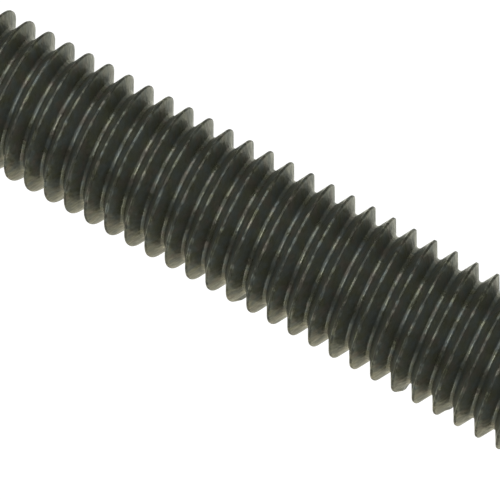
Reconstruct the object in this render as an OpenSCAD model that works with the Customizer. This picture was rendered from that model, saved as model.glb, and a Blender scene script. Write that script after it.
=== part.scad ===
// Threaded rod: one straight bar of dark steel with a rolled right-hand thread from end to end.
// It stands on one end. The origin is the middle of that end face, and +Z runs up the axis.
// All sizes are in millimetres and degrees.

/* [Rod] */
// Length of the rod from end face to end face
rod_l = 101.6; // [40:0.1:115]

/* [Thread] */
// Diameter over the crests
major_d = 12.6; // [9:0.05:20]
// Distance along the rod from one crest to the next
pitch = 1.954; // [1.7:0.001:2.6]
// Height of the ridge above the root
ridge_h = 1.25; // [0.9:0.01:1.4]
// Width of the land that the rolling leaves along the crest
crest_w = 0.14; // [0.05:0.01:0.3]
// Angle between the two flanks of the groove
flank_angle = 60; // [50:1:62]

/* [Ends] */
// How far inside the root the edge of the flat end face lies
face_inset = 0.2; // [0.1:0.05:0.6]
// Angle between the chamfer and the axis
chamfer_angle = 45; // [30:1:60]

/* [Hidden] */

// Flat steps that one turn of the ridge is swept in, a multiple of 4 so that the crest
// touches all four sides of its box
turn_steps = 24;
// Turns of the ridge that run past the two end faces together, to be trimmed off there
spare_turns = 2.6;
// Gap between the crest and the widest part of the trimming shape
trim_clear = 0.5;

crest_r = major_d / 2;
root_r = crest_r - ridge_h;
flank_run = ridge_h * tan(flank_angle / 2);
root_w = pitch - crest_w - 2 * flank_run;
face_r = root_r - face_inset;

// One ridge as a path of corners, each [distance along the axis, radius]:
// the root land, the rising flank and the crest land. The falling flank closes it to the next turn.
ridge_path = [
    [0, root_r],
    [root_w, root_r],
    [root_w + flank_run, crest_r],
    [root_w + flank_run + crest_w, crest_r],
];
corners = len(ridge_path);

sweep_steps = ceil((rod_l / pitch + spare_turns) * turn_steps);
sweep_bottom = -(spare_turns / 2) * pitch;

// Where corner k of the ridge lies after i steps of the sweep
function ridge_point(i, k) =
    let (
        angle = 360 * i / turn_steps,
        rise = sweep_bottom + pitch * i / turn_steps,
        corner = ridge_path[k]
    )
    [corner[1] * cos(angle), corner[1] * sin(angle), rise + corner[0]];

// Number of that point in the list. The corner after the last is the first corner one turn on.
function point_id(i, k) = k < corners ? i * corners + k : (i + turn_steps) * corners;

// A quad of the swept surface as two triangles
function patch(i, k) = [
    [point_id(i, k), point_id(i, k + 1), point_id(i + 1, k + 1)],
    [point_id(i, k), point_id(i + 1, k + 1), point_id(i + 1, k)],
];

// The ridge swept round the axis, closed at both ends by fans to a point on the axis
module swept_thread() {
    last = sweep_steps;
    last_turn = last - turn_steps;
    last_corner = corners - 1;
    foot = (last + 1) * corners;
    head = foot + 1;
    surface = [for (i = [0 : last], k = [0 : last_corner]) ridge_point(i, k)];
    foot_point = [0, 0, sweep_bottom + pitch / 2];
    head_point = [0, 0, sweep_bottom + pitch * last / turn_steps];
    walls = [
        for (i = [0 : last - 1], k = [0 : last_corner])
            if (k < last_corner || i < last_turn)
                each patch(i, k)
    ];
    foot_fan = [
        for (i = [0 : turn_steps - 1])
            [foot, point_id(i, 0), point_id(i + 1, 0)],
        for (k = [0 : last_corner])
            [foot, point_id(0, k + 1), point_id(0, k)],
    ];
    head_fan = [
        for (i = [last_turn : last - 1])
            [head, point_id(i + 1, last_corner), point_id(i, last_corner)],
        for (k = [0 : last_corner - 1])
            [head, point_id(last, k), point_id(last, k + 1)],
        [head, point_id(last_turn, last_corner), point_id(last, 0)],
    ];
    polyhedron(
        points = concat(surface, [foot_point, head_point]),
        faces = concat(walls, foot_fan, head_fan)
    );
}

// A bar with a flat face and a chamfer at each end, wider than the thread between them
module chamfered_bar() {
    bar_r = crest_r + trim_clear;
    chamfer_l = (bar_r - face_r) / tan(chamfer_angle);
    rotate_extrude($fn = 96)
        polygon([
            [0, 0],
            [face_r, 0],
            [bar_r, chamfer_l],
            [bar_r, rod_l - chamfer_l],
            [face_r, rod_l],
            [0, rod_l],
        ]);
}

module threaded_rod() {
    color("#3a3b36")
        intersection() {
            swept_thread();
            chamfered_bar();
        }
}

threaded_rod();
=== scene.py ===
import math
from functools import partial

import bpy
from mathutils import Matrix, Vector


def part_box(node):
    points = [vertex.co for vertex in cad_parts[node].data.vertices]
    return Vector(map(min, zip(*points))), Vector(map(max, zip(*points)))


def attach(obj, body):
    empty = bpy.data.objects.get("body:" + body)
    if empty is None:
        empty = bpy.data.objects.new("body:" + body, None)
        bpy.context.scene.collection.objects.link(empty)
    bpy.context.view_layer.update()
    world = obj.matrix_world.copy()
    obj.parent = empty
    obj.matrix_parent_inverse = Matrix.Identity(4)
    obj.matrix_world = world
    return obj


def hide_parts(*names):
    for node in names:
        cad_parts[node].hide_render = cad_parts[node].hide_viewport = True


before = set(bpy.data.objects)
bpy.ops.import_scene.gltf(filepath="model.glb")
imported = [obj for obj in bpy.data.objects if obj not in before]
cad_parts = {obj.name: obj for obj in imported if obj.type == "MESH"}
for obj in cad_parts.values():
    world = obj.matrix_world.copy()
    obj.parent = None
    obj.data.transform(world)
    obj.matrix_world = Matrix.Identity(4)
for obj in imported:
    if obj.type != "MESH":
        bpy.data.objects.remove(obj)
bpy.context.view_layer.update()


# The threaded rod: one straight bar of dark steel with a coarse right-hand thread from end to end.
# Rolling the thread leaves 60 degree flanks, a full round root and a narrow crest with a ragged lip.
# Both ends are cut square and chamfered, and the steel keeps its thin dark oxide.
MM = 0.001
rod_low, rod_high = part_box("threaded_rod")
# the mesh is a hair shorter than the solid, so that rounding never puts its head past it
head_clearance = 0.001 * MM
rod_length = rod_high.z - rod_low.z - head_clearance
crest_radius_out = (rod_high.x - rod_low.x) / 2
pitch = 1.954 * MM
ridge_height = 1.25 * MM
crest_land = 0.10 * MM
crest_round = 0.07 * MM
flank_tilt = math.radians(60)
face_inset = 0.2 * MM
face_radius = crest_radius_out - ridge_height - face_inset
chamfer_slope = math.radians(45)

# how high above the foot the crest first passes the +X side, in pitches
first_crest = 0.2948
steps_per_turn = 72
# the helix runs on for this many turns past each end, and has closed to a point at this many
turns_past_an_end = 3
tip_turns = 1.5
# faces across half a ridge: the crest's land, the crest's arc, the flank and the root's arc
land_steps, crest_steps, flank_steps, root_steps = 1, 3, 4, 4
half_ridge = land_steps + crest_steps + flank_steps + root_steps

# each burr: the turn it lies at, its place in faces from the middle of the crest, its height,
# and the depth of the dent at its foot
burrs = (
    (4.31, 6, 0.10 * MM, 0.12 * MM),
    (19.12, 5, 0.08 * MM, 0.05 * MM),
    (26.056, 4.9, 0.22 * MM, 0.28 * MM),
    (34.040, 5, 0.20 * MM, 0.12 * MM),
    (36.041, 7, 0.14 * MM, 0.20 * MM),
    (44.24, 6, 0.10 * MM, 0.12 * MM),
)
# half of a burr's length in turns, at its top and at its foot, and half of its width in faces
burr_top, burr_foot, burr_half_width = 0.014, 0.04, 1.2
# the dent starts and is full this many faces past its burr
dent_start, dent_full = 0.8, 1.6

nick_depth = 0.02 * MM
nick_scale = 3.1
# the noise above which a nick starts and is full, and the faces from the crest that it reaches over
nick_start, nick_full = 0.56, 0.72
nick_full_at, nick_gone_at = 1.0, 5.0

bar_steps = 192
bar_clearance = 0.5 * MM
sewing_gap = 0.0002 * MM
sharp_bend = math.radians(38)


def feed(tree, slot, value):
    """Joins a socket to an input, or sets the input to a plain value."""
    if isinstance(value, bpy.types.NodeSocket):
        tree.links.new(value, slot)
    else:
        slot.default_value = value


def calc(tree, operation, *values):
    """One step of arithmetic in a node tree. Returns its result."""
    step = tree.nodes.new("ShaderNodeMath")
    step.operation = operation
    for slot, value in zip(step.inputs, values):
        feed(tree, slot, value)
    return step.outputs[0]


def arithmetic(tree):
    """Four kinds of step for one tree: plus, minus, times and over."""
    return [partial(calc, tree, operation) for operation in ("ADD", "SUBTRACT", "MULTIPLY", "DIVIDE")]


def ramp(tree, value, start, end, low, high):
    """Maps value from start..end to low..high and stops at both ends."""
    step = tree.nodes.new("ShaderNodeMapRange")
    wanted = {"Value": value, "From Min": start, "From Max": end, "To Min": low, "To Max": high}
    for name, number in wanted.items():
        feed(tree, step.inputs[name], number)
    return step.outputs["Result"]


def add(tree, kind, settings=None, **inputs):
    """Adds a node with its settings and inputs. An input's name has _ for a space."""
    made = tree.nodes.new(kind)
    for name, value in (settings or {}).items():
        setattr(made, name, value)
    for name, value in inputs.items():
        feed(tree, made.inputs[name.replace("_", " ")], value)
    return made


def flat_grid(tree, rows, columns):
    """A grid to be bent into shape. Returns it with the row and the column of its corners."""
    plus, minus, times, over = arithmetic(tree)
    grid = add(tree, "GeometryNodeMeshGrid", Vertices_X=rows, Vertices_Y=columns).outputs["Mesh"]
    index = add(tree, "GeometryNodeInputIndex").outputs[0]
    row = calc(tree, "FLOOR", over(plus(index, 0.5), columns))
    column = minus(index, times(row, columns))
    return grid, row, column


def bent_round(tree, grid, angle, radius, height):
    """The grid bent round the axis, with its seam and its poles sewn shut."""
    across = calc(tree, "MULTIPLY", radius, calc(tree, "COSINE", angle))
    deep = calc(tree, "MULTIPLY", radius, calc(tree, "SINE", angle))
    spot = add(tree, "ShaderNodeCombineXYZ", X=across, Y=deep, Z=height).outputs[0]
    placed = add(tree, "GeometryNodeSetPosition", Geometry=grid, Position=spot).outputs[0]
    return add(tree, "GeometryNodeMergeByDistance", Geometry=placed, Distance=sewing_gap).outputs[0]


def ridge_profile(tree, size, out):
    """How far along the rod, and how far below its crest, the ridge lies at out faces from its middle."""
    plus, minus, times, over = arithmetic(tree)
    product_plus = partial(calc, tree, "MULTIPLY_ADD")
    half_pitch = times(size["Pitch"], 0.5)
    land_half = times(size["Crest Land"], 0.5)

    # the root's arc fills what the ridge's height leaves of the sharp groove
    half_angle_slope = math.tan(math.pi / 2 - flank_tilt)
    crest_corner = times(size["Crest Round"], math.tan(flank_tilt / 2))
    sharp_depth = over(minus(half_pitch, plus(land_half, crest_corner)), half_angle_slope)
    root_round = over(minus(sharp_depth, size["Ridge Height"]), 1 / math.cos(flank_tilt) - 1)
    arcs_run = times(plus(size["Crest Round"], root_round), math.sin(flank_tilt))
    flank_run = minus(minus(half_pitch, land_half), arcs_run)

    flank_from = land_steps + crest_steps
    root_from = half_ridge - root_steps
    crest_tilt = ramp(tree, out, land_steps, flank_from, 0.0, flank_tilt)
    flank_share = ramp(tree, out, flank_from, root_from, 0.0, 1.0)
    root_tilt = ramp(tree, out, root_from, half_ridge, flank_tilt, 0.0)

    along = ramp(tree, out, 0.0, land_steps, 0.0, land_half)
    along = product_plus(calc(tree, "SINE", crest_tilt), size["Crest Round"], along)
    along = product_plus(flank_share, flank_run, along)
    root_side = minus(math.sin(flank_tilt), calc(tree, "SINE", root_tilt))
    along = product_plus(root_side, root_round, along)

    crest_drop = times(minus(1.0, calc(tree, "COSINE", crest_tilt)), size["Crest Round"])
    flank_drop = over(times(flank_share, flank_run), half_angle_slope)
    root_drop = minus(calc(tree, "COSINE", root_tilt), math.cos(flank_tilt))
    drop = product_plus(root_drop, root_round, plus(crest_drop, flank_drop))
    return along, drop


def with_burrs(tree, size, turn, side, out, along):
    """Pushes the upper flank up at each burr that the dies squeezed out, and down in the dent below it."""
    _, minus, times, _ = arithmetic(tree)
    upper_side = calc(tree, "GREATER_THAN", side, 0.0)
    out_of_root = ramp(tree, out, half_ridge - root_steps, half_ridge - 1.0, 1.0, 0.0)
    for burr_turn, burr_place, burr_height, dent_depth in burrs:
        off = calc(tree, "ABSOLUTE", minus(turn, burr_turn))
        here = times(ramp(tree, off, burr_top, burr_foot, 1.0, 0.0), upper_side)
        aside = calc(tree, "ABSOLUTE", minus(out, burr_place))
        lump = ramp(tree, aside, 0.0, burr_half_width, burr_height, 0.0)
        dent = ramp(tree, out, burr_place + dent_start, burr_place + dent_full, 0.0, dent_depth)
        shift = times(minus(lump, times(dent, out_of_root)), size["Burrs"])
        along = calc(tree, "MULTIPLY_ADD", here, shift, along)
    return along


def nicks(tree, size, turn, angle, out):
    """Small nicks where the crest was knocked: how deep the surface lies in them."""
    across, deep = calc(tree, "COSINE", angle), calc(tree, "SINE", angle)
    place = add(tree, "ShaderNodeCombineXYZ", X=across, Y=deep, Z=turn).outputs[0]
    knocks = add(tree, "ShaderNodeTexNoise", Vector=place, Scale=nick_scale, Detail=2.0).outputs[0]
    knocked = ramp(tree, knocks, nick_start, nick_full, 0.0, 1.0)
    near_crest = ramp(tree, out, nick_full_at, nick_gone_at, 1.0, 0.0)
    return calc(tree, "MULTIPLY", calc(tree, "MULTIPLY", knocked, near_crest), size["Nick Depth"])


def helix(tree, size):
    """The ridge swept round the axis and closed to a point past both ends. A row runs across one pitch."""
    plus, minus, times, over = arithmetic(tree)
    turns = math.ceil(rod_length / pitch) + 2 * turns_past_an_end
    grid, row, column = flat_grid(tree, turns * steps_per_turn + 1, 2 * half_ridge + 1)
    side = minus(column, half_ridge)
    out = calc(tree, "ABSOLUTE", side)
    turn = minus(over(row, steps_per_turn), turns_past_an_end)
    angle = times(turn, math.tau)

    along, drop = ridge_profile(tree, size, out)
    along = with_burrs(tree, size, turn, side, out, along)
    rise = times(plus(turn, size["First Crest"]), size["Pitch"])
    height = calc(tree, "MULTIPLY_ADD", calc(tree, "SIGN", side), along, rise)
    radius = minus(size["Crest Radius Out"], drop)
    radius = minus(radius, nicks(tree, size, turn, angle, out))

    reach = times(size["Pitch"], tip_turns)
    low_tip = times(reach, -1.0)
    high_tip = plus(size["Length"], reach)
    height = calc(tree, "MINIMUM", calc(tree, "MAXIMUM", height, low_tip), high_tip)
    to_tip = calc(tree, "MINIMUM", minus(height, low_tip), minus(high_tip, height))
    radius = times(radius, calc(tree, "MINIMUM", over(to_tip, size["Pitch"]), 1.0))
    return bent_round(tree, grid, angle, radius, height)


def chamfered_bar(tree, size):
    """A bar wider than the thread, with a flat face and a chamfer at each end."""
    plus, minus, times, over = arithmetic(tree)
    # the middle of the foot, its rim and the top of its chamfer, and the same three at the head
    stations = 6
    grid, row, station = flat_grid(tree, bar_steps + 1, stations)
    angle = times(calc(tree, "MODULO", row, bar_steps), math.tau / bar_steps)

    chamfer_width = minus(plus(size["Crest Radius Out"], bar_clearance), size["Face Radius"])
    chamfer_height = over(chamfer_width, math.tan(chamfer_slope))
    from_end = calc(tree, "MINIMUM", station, minus(stations - 1, station))
    past_rim = calc(tree, "MAXIMUM", minus(from_end, 1.0), 0.0)
    radius = times(calc(tree, "MINIMUM", from_end, 1.0), size["Face Radius"])
    radius = calc(tree, "MULTIPLY_ADD", past_rim, chamfer_width, radius)
    height = times(past_rim, chamfer_height)
    at_head = calc(tree, "GREATER_THAN", station, (stations - 1) / 2)
    up_to_head = minus(size["Length"], times(height, 2.0))
    height = calc(tree, "MULTIPLY_ADD", at_head, up_to_head, height)
    return bent_round(tree, grid, angle, radius, height)


def rod_tree():
    """The helix trimmed to the chamfered bar, with sharp edges kept sharp and the finish on it."""
    tree = bpy.data.node_groups.new("threaded bar", "GeometryNodeTree")
    sizes = {
        "Length": rod_length,
        "Pitch": pitch,
        "Crest Radius Out": crest_radius_out,
        "Ridge Height": ridge_height,
        "Crest Land": crest_land,
        "Crest Round": crest_round,
        "Face Radius": face_radius,
        "First Crest": first_crest,
        "Nick Depth": nick_depth,
        "Burrs": 1.0,
    }
    for name in sizes:
        tree.interface.new_socket(name, in_out="INPUT", socket_type="NodeSocketFloat")
    tree.interface.new_socket("Finish", in_out="INPUT", socket_type="NodeSocketMaterial")
    tree.interface.new_socket("Rod", in_out="OUTPUT", socket_type="NodeSocketGeometry")
    given = tree.nodes.new("NodeGroupInput").outputs
    size = {name: given[name] for name in sizes}

    both = add(tree, "GeometryNodeMeshBoolean", {"operation": "INTERSECT", "solver": "MANIFOLD"})
    tree.links.new(helix(tree, size), both.inputs["Mesh 2"])
    tree.links.new(chamfered_bar(tree, size), both.inputs["Mesh 2"])
    smooth = add(tree, "GeometryNodeSetShadeSmooth", Geometry=both.outputs["Mesh"], Shade_Smooth=True)
    bend = add(tree, "GeometryNodeInputMeshEdgeAngle").outputs["Unsigned Angle"]
    is_edge = calc(tree, "GREATER_THAN", bend, sharp_bend)
    sharp = add(tree, "GeometryNodeSetShadeSmooth", {"domain": "EDGE"},
                Geometry=smooth.outputs[0], Selection=is_edge, Shade_Smooth=False)
    real = add(tree, "GeometryNodeRealizeInstances", Geometry=sharp.outputs[0])
    dressed = add(tree, "GeometryNodeSetMaterial", Geometry=real.outputs[0], Material=given["Finish"])
    result = tree.nodes.new("NodeGroupOutput")
    tree.links.new(dressed.outputs[0], result.inputs["Rod"])
    return tree, sizes


# how far the flank reaches either way from half height, and where the lip of the crest lies,
# both as shares of the ridge's height
flank_full, flank_gone = 0.28, 0.42
lip_start, lip_full = 0.935, 0.985
# the noise above which the lip is ragged
ragged_start, ragged_full = 0.44, 0.54
# the dies' lines run round the bar, so their noise is squeezed along it
die_line_scale = (0.45, 0.45, 5.0)
# heights of the die lines, the fine grain and the lip's seam, where the dents are 1
line_height, grain_height, lip_height = 0.14, 0.04, 2.6


def noise(tree, place, scale, detail, roughness):
    """A noise node at a place."""
    return add(tree, "ShaderNodeTexNoise", Vector=place, Scale=scale, Detail=detail, Roughness=roughness)


def surface_marks():
    """Shader group: marks of the rolling dies, small dents and stains. Place is in millimetres."""
    tree = bpy.data.node_groups.new("rolled surface", "ShaderNodeTree")
    kinds = {
        "Place": "NodeSocketVector",
        "Root Radius": "NodeSocketFloat",
        "Crest Radius": "NodeSocketFloat",
        "Grain Size": "NodeSocketFloat",
    }
    for name, kind in kinds.items():
        tree.interface.new_socket(name, in_out="INPUT", socket_type=kind)
    for name in ("Height", "Stain", "Tint", "Grain", "Flank", "Crest", "Ragged Crest"):
        tree.interface.new_socket(name, in_out="OUTPUT", socket_type="NodeSocketFloat")
    given = tree.nodes.new("NodeGroupInput").outputs
    place = given["Place"]

    # how far out a point lies, from 0 at the root to 1 at the crest
    apart = add(tree, "ShaderNodeSeparateXYZ", Vector=place)
    flat = add(tree, "ShaderNodeCombineXYZ", X=apart.outputs["X"], Y=apart.outputs["Y"]).outputs[0]
    radius = add(tree, "ShaderNodeVectorMath", {"operation": "LENGTH"}, Vector=flat).outputs["Value"]
    out = ramp(tree, radius, given["Root Radius"], given["Crest Radius"], 0.0, 1.0)
    from_middle = calc(tree, "ABSOLUTE", calc(tree, "SUBTRACT", out, 0.5))
    flank = ramp(tree, from_middle, flank_full, flank_gone, 1.0, 0.0)
    lip = ramp(tree, out, lip_start, lip_full, 0.0, 1.0)

    lines_at = add(tree, "ShaderNodeMapping", Vector=place, Scale=die_line_scale).outputs[0]
    lines = noise(tree, lines_at, scale=1.0, detail=1.5, roughness=0.45).outputs["Fac"]
    dent_scale = calc(tree, "DIVIDE", 1.0, given["Grain Size"])
    fine_scale = calc(tree, "MULTIPLY", dent_scale, 3.0)
    dents = noise(tree, place, scale=dent_scale, detail=1.0, roughness=0.4).outputs["Fac"]
    fine = noise(tree, place, scale=fine_scale, detail=2.0, roughness=0.6).outputs["Fac"]
    stain = noise(tree, place, scale=0.9, detail=2.0, roughness=0.6)
    tint = add(tree, "ShaderNodeSeparateColor", Color=stain.outputs["Color"]).outputs["Blue"]

    # at the crest the two lips of the rolled ridge meet unevenly
    seam = noise(tree, place, scale=1.25, detail=1.5, roughness=0.5).outputs["Fac"]
    seam_rise = calc(tree, "MULTIPLY", lip, calc(tree, "SUBTRACT", seam, 0.5))
    ragged = calc(tree, "MULTIPLY", lip, ramp(tree, seam, ragged_start, ragged_full, 0.0, 1.0))

    height = calc(tree, "MULTIPLY_ADD", lines, line_height, dents)
    height = calc(tree, "MULTIPLY_ADD", fine, grain_height, height)
    height = calc(tree, "MULTIPLY_ADD", seam_rise, lip_height, height)

    outputs = {
        "Height": height,
        "Stain": stain.outputs["Fac"],
        "Tint": tint,
        "Grain": fine,
        "Flank": flank,
        "Crest": lip,
        "Ragged Crest": ragged,
    }
    result = tree.nodes.new("NodeGroupOutput")
    for name, socket in outputs.items():
        tree.links.new(socket, result.inputs[name])
    return tree


def blend(tree, share, first, second):
    """Mixes two colours. The node's colour sockets are inputs 6 and 7 and output 2."""
    mix = tree.nodes.new("ShaderNodeMix")
    mix.data_type = "RGBA"
    feed(tree, mix.inputs["Factor"], share)
    feed(tree, mix.inputs[6], first)
    feed(tree, mix.inputs[7], second)
    return mix.outputs[2]


olive_oxide = (0.102, 0.106, 0.069, 1)
blue_oxide = (0.090, 0.106, 0.103, 1)
brown_oxide = (0.115, 0.103, 0.085, 1)
dark_grain = (0.072, 0.076, 0.057, 1)
lip_shade = (0.030, 0.031, 0.024, 1)
metal_of_oxide, metal_of_worn_crest = 0.68, 0.86
smooth_oxide, rough_oxide = 0.25, 0.38
rougher_crest, rougher_lip, rougher_flank = 0.10, 0.12, 0.05
grain_size_in_mm = 0.5
dent_relief = 0.048 * MM


def oxide_steel(marks):
    """Dark, self-coloured steel: a thin oxide over the metal, worn a little barer along the crest."""
    finish = bpy.data.materials.new("oxide_steel")
    finish.use_nodes = True
    tree = finish.node_tree
    shader = tree.nodes["Principled BSDF"]
    in_metres = tree.nodes.new("ShaderNodeTexCoord").outputs["Object"]
    place = add(tree, "ShaderNodeVectorMath", {"operation": "SCALE"}, Vector=in_metres, Scale=1 / MM)
    surface = tree.nodes.new("ShaderNodeGroup")
    surface.node_tree = marks
    feed(tree, surface.inputs["Place"], place.outputs["Vector"])
    feed(tree, surface.inputs["Root Radius"], (crest_radius_out - ridge_height) / MM)
    feed(tree, surface.inputs["Crest Radius"], crest_radius_out / MM)
    feed(tree, surface.inputs["Grain Size"], grain_size_in_mm)
    mark = surface.outputs

    blue_share = ramp(tree, mark["Stain"], 0.36, 0.64, 0.0, 1.0)
    brown_share = ramp(tree, mark["Tint"], 0.5, 0.68, 0.0, 1.0)
    grain_share = ramp(tree, mark["Grain"], 0.35, 0.65, 0.0, 0.5)
    shade_share = calc(tree, "MULTIPLY", mark["Ragged Crest"], 0.6)
    tone = blend(tree, blue_share, olive_oxide, blue_oxide)
    tone = blend(tree, brown_share, tone, brown_oxide)
    tone = blend(tree, grain_share, tone, dark_grain)
    tone = blend(tree, shade_share, tone, lip_shade)
    feed(tree, shader.inputs["Base Color"], tone)

    metal = ramp(tree, mark["Crest"], 0.0, 1.0, metal_of_oxide, metal_of_worn_crest)
    feed(tree, shader.inputs["Metallic"], metal)
    rough = ramp(tree, mark["Stain"], 0.38, 0.62, smooth_oxide, rough_oxide)
    rough = calc(tree, "MULTIPLY_ADD", mark["Crest"], rougher_crest, rough)
    rough = calc(tree, "MULTIPLY_ADD", mark["Ragged Crest"], rougher_lip, rough)
    rough = calc(tree, "MULTIPLY_ADD", mark["Flank"], rougher_flank, rough)
    feed(tree, shader.inputs["Roughness"], rough)
    relief = add(tree, "ShaderNodeBump", Height=mark["Height"], Strength=1.0, Distance=dent_relief)
    feed(tree, shader.inputs["Normal"], relief.outputs[0])
    return finish


def shaped_by(tree, values, name):
    """Runs a geometry tree on an empty mesh and returns the result as a plain mesh object."""
    holder = bpy.data.objects.new(name + "_tree", bpy.data.meshes.new(name + "_tree"))
    bpy.context.scene.collection.objects.link(holder)
    modifier = holder.modifiers.new("shape", "NODES")
    modifier.node_group = tree
    for item in tree.interface.items_tree:
        if item.in_out == "INPUT":
            modifier[item.identifier] = values[item.name]
    graph = bpy.context.evaluated_depsgraph_get()
    mesh = bpy.data.meshes.new_from_object(holder.evaluated_get(graph), depsgraph=graph)
    holder.modifiers.remove(modifier)
    bpy.data.objects.remove(holder)
    piece = bpy.data.objects.new(name, mesh)
    bpy.context.scene.collection.objects.link(piece)
    return piece


oxide = oxide_steel(surface_marks())
rod_shape, rod_sizes = rod_tree()
rod = shaped_by(rod_shape, {**rod_sizes, "Finish": oxide}, "threaded_bar")
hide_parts("threaded_rod")
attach(rod, "root")


# The stand: a plain round plate of white paper under the rod's foot, which keeps the rod's shadow.
# The rod stands on it by its own weight.
plate_radius = 30 * MM
plate_corners = 96
paper_colour = (0.8, 0.8, 0.8, 1)
paper_glow = 0.6


def paper_white():
    """White paper that shows as white to the camera and in reflections, and keeps a shadow."""
    finish = bpy.data.materials.new("paper_white")
    finish.use_nodes = True
    tree = finish.node_tree
    tree.nodes.clear()
    path = tree.nodes.new("ShaderNodeLightPath")
    seen = calc(tree, "MAXIMUM", path.outputs["Is Camera Ray"], path.outputs["Is Glossy Ray"])
    seen = calc(tree, "MAXIMUM", seen, path.outputs["Is Transmission Ray"])
    plain = add(tree, "ShaderNodeBsdfDiffuse", Color=paper_colour)
    glow = add(tree, "ShaderNodeEmission", Strength=calc(tree, "MULTIPLY", seen, paper_glow))
    both = tree.nodes.new("ShaderNodeAddShader")
    tree.links.new(plain.outputs[0], both.inputs[0])
    tree.links.new(glow.outputs[0], both.inputs[1])
    out = tree.nodes.new("ShaderNodeOutputMaterial")
    tree.links.new(both.outputs[0], out.inputs["Surface"])
    return finish


corner_angles = [math.tau * k / plate_corners for k in range(plate_corners)]
rim = [(plate_radius * math.cos(angle), plate_radius * math.sin(angle), 0) for angle in corner_angles]
plate_mesh = bpy.data.meshes.new("plate")
plate_mesh.from_pydata(rim, [], [list(range(plate_corners))])
plate_mesh.materials.append(paper_white())
floor = bpy.data.objects.new("plate", plate_mesh)
bpy.context.scene.collection.objects.link(floor)


# The room: a soft surround, bright behind the rod and dark on the side that the camera stands on.
# Each ramp below reads one part of a direction: 1 is straight behind, right or up, and -1 the other way.
# The camera itself sees plain white.
lean_to_right = 0.25
front_level, wall_level = 0.05, 1.0
dimmer_right = -0.2
foot_of_wall_level = 0.11
ceiling_left, ceiling_right = 0.4, -0.02
ground_level = 1.1
wall_colour = (1.0, 1.0, 0.87, 1)
warm_colour = (1.0, 0.935, 0.70, 1)
white = (1.0, 1.0, 1.0, 1)

world = bpy.data.worlds.new("studio")
bpy.context.scene.world = world
world.use_nodes = True
room = world.node_tree
room.nodes.clear()
plus, _, times, _ = arithmetic(room)
look = room.nodes.new("ShaderNodeTexCoord").outputs["Generated"]
split = add(room, "ShaderNodeSeparateXYZ", Vector=look)
rightward, backward, upward = (split.outputs[axis] for axis in ("X", "Y", "Z"))
behind = calc(room, "MULTIPLY_ADD", rightward, lean_to_right, backward)

wall = ramp(room, behind, -0.20, 1.0, front_level, wall_level)
to_the_right = times(rightward, ramp(room, behind, 0.5, 1.0, 0.0, dimmer_right))
foot_of_wall = times(ramp(room, upward, 0.15, -0.15, 0.0, foot_of_wall_level),
                     ramp(room, behind, 0.4, 0.9, 0.0, 1.0))
ceiling = times(ramp(room, upward, 0.1, 0.9, 0.0, 1.0),
                ramp(room, rightward, -0.6, 0.5, ceiling_left, ceiling_right))
ground = times(ramp(room, upward, -0.3, -0.8, 0.0, ground_level),
               ramp(room, behind, -0.2, 0.4, 0.0, 1.0))
for part in (to_the_right, foot_of_wall, ceiling, ground):
    wall = plus(wall, part)
warmth = times(ramp(room, rightward, 0.0, 0.3, 0.0, 1.0),
               ramp(room, behind, 0.5, 0.95, 0.35, 1.0))
warm = blend(room, warmth, wall_colour, warm_colour)

to_camera = room.nodes.new("ShaderNodeLightPath").outputs["Is Camera Ray"]
level = calc(room, "MAXIMUM", wall, to_camera)
colour = blend(room, to_camera, warm, white)
sky = add(room, "ShaderNodeBackground", Color=colour, Strength=level)
room_out = room.nodes.new("ShaderNodeOutputWorld")
room.links.new(sky.outputs[0], room_out.inputs["Surface"])


# The lamps: six rectangular soft boxes round the rod, all at one distance and aimed at its middle.
# Those in front and on the left draw the bright lines on the crests and roots, and those on the right
# light the flanks along the right-hand outline.
lamp_distance = 0.6
middle = rod_length / 2


def soft_box(name, bearing, lift, width, height, radiance):
    """A rectangular soft lamp. Bearing is counted from -X towards the camera, in degrees."""
    lamp = bpy.data.lights.new(name, "AREA")
    lamp.shape = "RECTANGLE"
    lamp.size, lamp.size_y = width, height
    lamp.energy = radiance * math.pi * width * height
    holder = bpy.data.objects.new(name, lamp)
    bpy.context.scene.collection.objects.link(holder)
    turn, raised = math.radians(bearing), math.radians(lift)
    level_part = math.cos(raised)
    away = Vector((-math.cos(turn) * level_part, -math.sin(turn) * level_part, math.sin(raised)))
    holder.location = Vector((0, 0, middle)) + away * lamp_distance
    holder.rotation_euler = away.to_track_quat("Z", "Y").to_euler()


soft_box("left_front_lamp", bearing=46.5, lift=-15, width=0.27, height=0.80, radiance=3.5)
soft_box("front_lamp", bearing=96, lift=-22, width=0.26, height=0.34, radiance=5.9)
soft_box("high_front_lamp", bearing=90, lift=42, width=0.60, height=0.50, radiance=1.8)
soft_box("right_lamp", bearing=171, lift=0, width=0.24, height=0.80, radiance=0.75)
soft_box("high_right_lamp", bearing=188, lift=34, width=0.40, height=0.36, radiance=1.6)
soft_box("low_right_lamp", bearing=202, lift=-46, width=0.40, height=0.40, radiance=1.6)


# The camera: it looks down a little on the middle of the rod, through a long lens. It is rolled so that
# the rod runs down to the right in the frame.
view_down = math.radians(10.25)
slant = math.radians(28.7242)
roll = math.pi / 2 + slant
view_distance = 278.18 * MM
beside_axis = 1.774 * MM
focal_length = 240.94
sensor_width = 36

lens = bpy.data.cameras.new("camera")
lens.lens = focal_length
lens.sensor_width = sensor_width
lens.clip_start = 10 * MM
camera = bpy.data.objects.new("camera", lens)
bpy.context.scene.collection.objects.link(camera)
bpy.context.scene.camera = camera
back = Vector((0, -math.cos(view_down), math.sin(view_down)))
up = Vector((0, math.sin(view_down), math.cos(view_down)))
right = Vector((1, 0, 0))
rolled_right = right * math.cos(roll) + up * math.sin(roll)
rolled_up = up * math.cos(roll) - right * math.sin(roll)
turned = Matrix((rolled_right, rolled_up, back)).transposed().to_4x4()
stand_point = Vector((beside_axis, 0, middle)) + back * view_distance
camera.matrix_world = Matrix.Translation(stand_point) @ turned

bpy.context.scene.view_settings.view_transform = "Standard"
